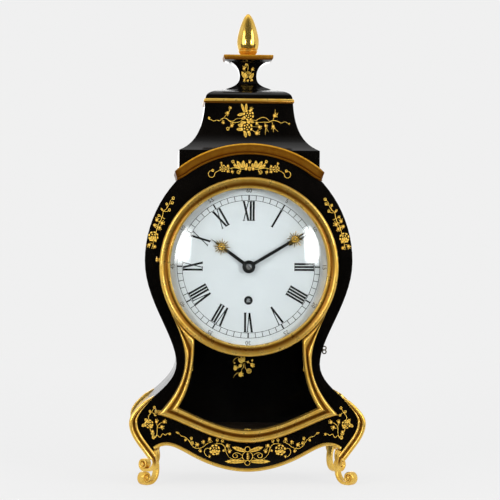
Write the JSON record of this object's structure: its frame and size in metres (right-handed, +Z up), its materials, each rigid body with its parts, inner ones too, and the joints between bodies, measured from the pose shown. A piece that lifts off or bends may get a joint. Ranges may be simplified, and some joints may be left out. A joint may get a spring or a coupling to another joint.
{
  "type": "bracket clock",
  "caption": "Waisted black lacquer bracket clock with gilt mouldings and scroll feet, bell-shaped hat and finial, glazed front door, round dial with two hands and spring-driven movement.",
  "frame": {"origin": "centre of the box in plan, at the height of the surface that the four scroll feet stand on", "axes": "+Z up, the dial faces -Y, +X to the right of somebody who looks at the dial"},
  "size_m": [0.2952, 0.1622, 0.593],
  "materials": {
    "black_lacquer": "gloss black lacquer over wood",
    "plain_wood": "plain stained softwood",
    "gilt": "gilt brass, polished on its beads and darker in its hollows",
    "brass": "satin brass",
    "steel": "polished steel",
    "spring_steel": "blued spring steel",
    "dark_bronze": "darkened wire",
    "clear_glass": "clear glass",
    "enamel": "white enamel on copper",
    "black_enamel": "black enamelled steel"
  },
  "bodies": {
    "case": {"front_board": "black_lacquer", "left_side": "black_lacquer", "right_side": "black_lacquer", "arch_board": "black_lacquer", "bottom_board": "plain_wood", "back_frame": "black_lacquer", "back_hinges": "brass", "cornice": "gilt", "hat_body": "black_lacquer", "hat_band": "gilt", "hat_shoulder": "black_lacquer", "hat_neck": "black_lacquer", "cap_plate": "gilt", "finial": "gilt", "finial_rod": "steel", "foot_front_left": "gilt", "foot_front_right": "gilt", "foot_back_left": "gilt", "foot_back_right": "gilt", "apron_strip": "gilt", "door_hinges": "brass", "lock_case": "brass", "dial": "enamel", "mask_plate": "brass", "front_plate": "brass", "back_plate": "brass", "pillars": "brass", "plate_nuts": "steel", "hairspring": "spring_steel", "escapement_bridge": "brass"},
    "front_door": {"door_leaf": "gilt", "dial_bezel": "gilt", "door_moulding": "gilt", "dial_glass": "clear_glass", "glass_ring": "brass", "lower_glass": "clear_glass", "door_striker": "brass"},
    "rear_door": {"back_door": "black_lacquer", "back_hinge_leaves": "brass"},
    "turn_button": {"back_catch": "brass"},
    "latch_key": {"lock_key": "dark_bronze"},
    "minute": {"minute_hand": "black_enamel", "minute_star": "gilt", "hand_nut": "steel", "cannon_pinion": "steel"},
    "motion": {"minute_wheel": "brass"},
    "hour": {"hour_hand": "black_enamel", "hour_star": "gilt", "hour_wheel": "brass"},
    "fourth": {"fourth_wheel": "brass"},
    "escape": {"escape_wheel": "brass"},
    "third": {"third_wheel": "brass"},
    "centre": {"centre_wheel": "brass"},
    "second": {"second_wheel": "brass"},
    "going_barrel": {"barrel": "brass", "mainspring": "spring_steel"},
    "winding": {"winding_arbor": "steel"},
    "ratchet_click": {"click": "steel"},
    "anchor": {"lever": "steel"},
    "balance_staff": {"balance": "brass"}
  },
  "joints": [
    {"name": "front_door_swing", "type": "hinge", "parent": "case", "child": "front_door", "pos_m": [-0.1144, -0.068, 0.271], "axis": [0, 0, -1], "range_deg": [0, 110]},
    {"name": "rear_door_swing", "type": "hinge", "parent": "case", "child": "rear_door", "pos_m": [-0.0736, 0.0678, 0.244], "axis": [0, 0, 1], "range_deg": [0, 110]},
    {"name": "turn_button_turn", "type": "hinge", "parent": "case", "child": "turn_button", "pos_m": [0.076, 0.066, 0.244], "axis": [0, 1, 0], "range_deg": [0, 90]},
    {"name": "latch_key_turn", "type": "hinge", "parent": "case", "child": "latch_key", "pos_m": [0.0723, -0.049, 0.167], "axis": [-1, 0, 0], "range_deg": [0, 180]},
    {"name": "minute_hand_turn", "type": "hinge", "parent": "case", "child": "minute", "pos_m": [0, -0.0625, 0.271], "axis": [0, 1, 0], "continuous": true},
    {"name": "minute_wheel_turn", "type": "hinge", "parent": "case", "child": "motion", "pos_m": [0.01579, -0.0486, 0.27675], "axis": [0, 1, 0], "continuous": true},
    {"name": "hour_hand_turn", "type": "hinge", "parent": "case", "child": "hour", "pos_m": [0, -0.0518, 0.271], "axis": [0, 1, 0], "continuous": true},
    {"name": "fourth_wheel_turn", "type": "hinge", "parent": "case", "child": "fourth", "pos_m": [-0.0053, -0.0284, 0.29397], "axis": [0, 1, 0], "continuous": true},
    {"name": "escape_wheel_turn", "type": "hinge", "parent": "case", "child": "escape", "pos_m": [0.00233, -0.0284, 0.30618], "axis": [0, 1, 0], "continuous": true},
    {"name": "third_wheel_turn", "type": "hinge", "parent": "case", "child": "third", "pos_m": [-0.01793, -0.0284, 0.28135], "axis": [0, 1, 0], "continuous": true},
    {"name": "centre_wheel_turn", "type": "hinge", "parent": "case", "child": "centre", "pos_m": [0, -0.0284, 0.271], "axis": [0, 1, 0], "continuous": true},
    {"name": "second_wheel_turn", "type": "hinge", "parent": "case", "child": "second", "pos_m": [0.01851, -0.0284, 0.25987], "axis": [0, 1, 0], "continuous": true},
    {"name": "barrel_turn", "type": "hinge", "parent": "case", "child": "going_barrel", "pos_m": [0, -0.0284, 0.229], "axis": [0, 1, 0], "continuous": true},
    {"name": "winding_arbor_turn", "type": "hinge", "parent": "case", "child": "winding", "pos_m": [0, -0.0454, 0.229], "axis": [0, 1, 0], "range_deg": [0, 2160]},
    {"name": "click_turn", "type": "hinge", "parent": "case", "child": "ratchet_click", "pos_m": [-0.0155, -0.0474, 0.2375], "axis": [0, 1, 0], "range_deg": [0, 8], "stiffness_Nm_per_rad": 0.0001},
    {"name": "lever_rock", "type": "hinge", "parent": "case", "child": "anchor", "pos_m": [0.01133, -0.0284, 0.30618], "axis": [0, 1, 0], "range_deg": [-3, 3]},
    {"name": "balance_swing", "type": "hinge", "parent": "case", "child": "balance_staff", "pos_m": [0.02233, -0.0284, 0.30618], "axis": [0, 1, 0], "range_deg": [-270, 270], "stiffness_Nm_per_rad": 0.000014, "deforming": ["hairspring"]}
  ],
  "couplings": [
    {"joint": "minute_wheel_turn", "follows": "minute_hand_turn", "ratio": -0.33333},
    {"joint": "hour_hand_turn", "follows": "minute_hand_turn", "ratio": 0.083333},
    {"joint": "escape_wheel_turn", "follows": "fourth_wheel_turn", "ratio": -8},
    {"joint": "third_wheel_turn", "follows": "fourth_wheel_turn", "ratio": -0.13333},
    {"joint": "centre_wheel_turn", "follows": "fourth_wheel_turn", "ratio": 0.016667},
    {"joint": "second_wheel_turn", "follows": "fourth_wheel_turn", "ratio": -0.0033333},
    {"joint": "barrel_turn", "follows": "fourth_wheel_turn", "ratio": 0.00051282}
  ]
}
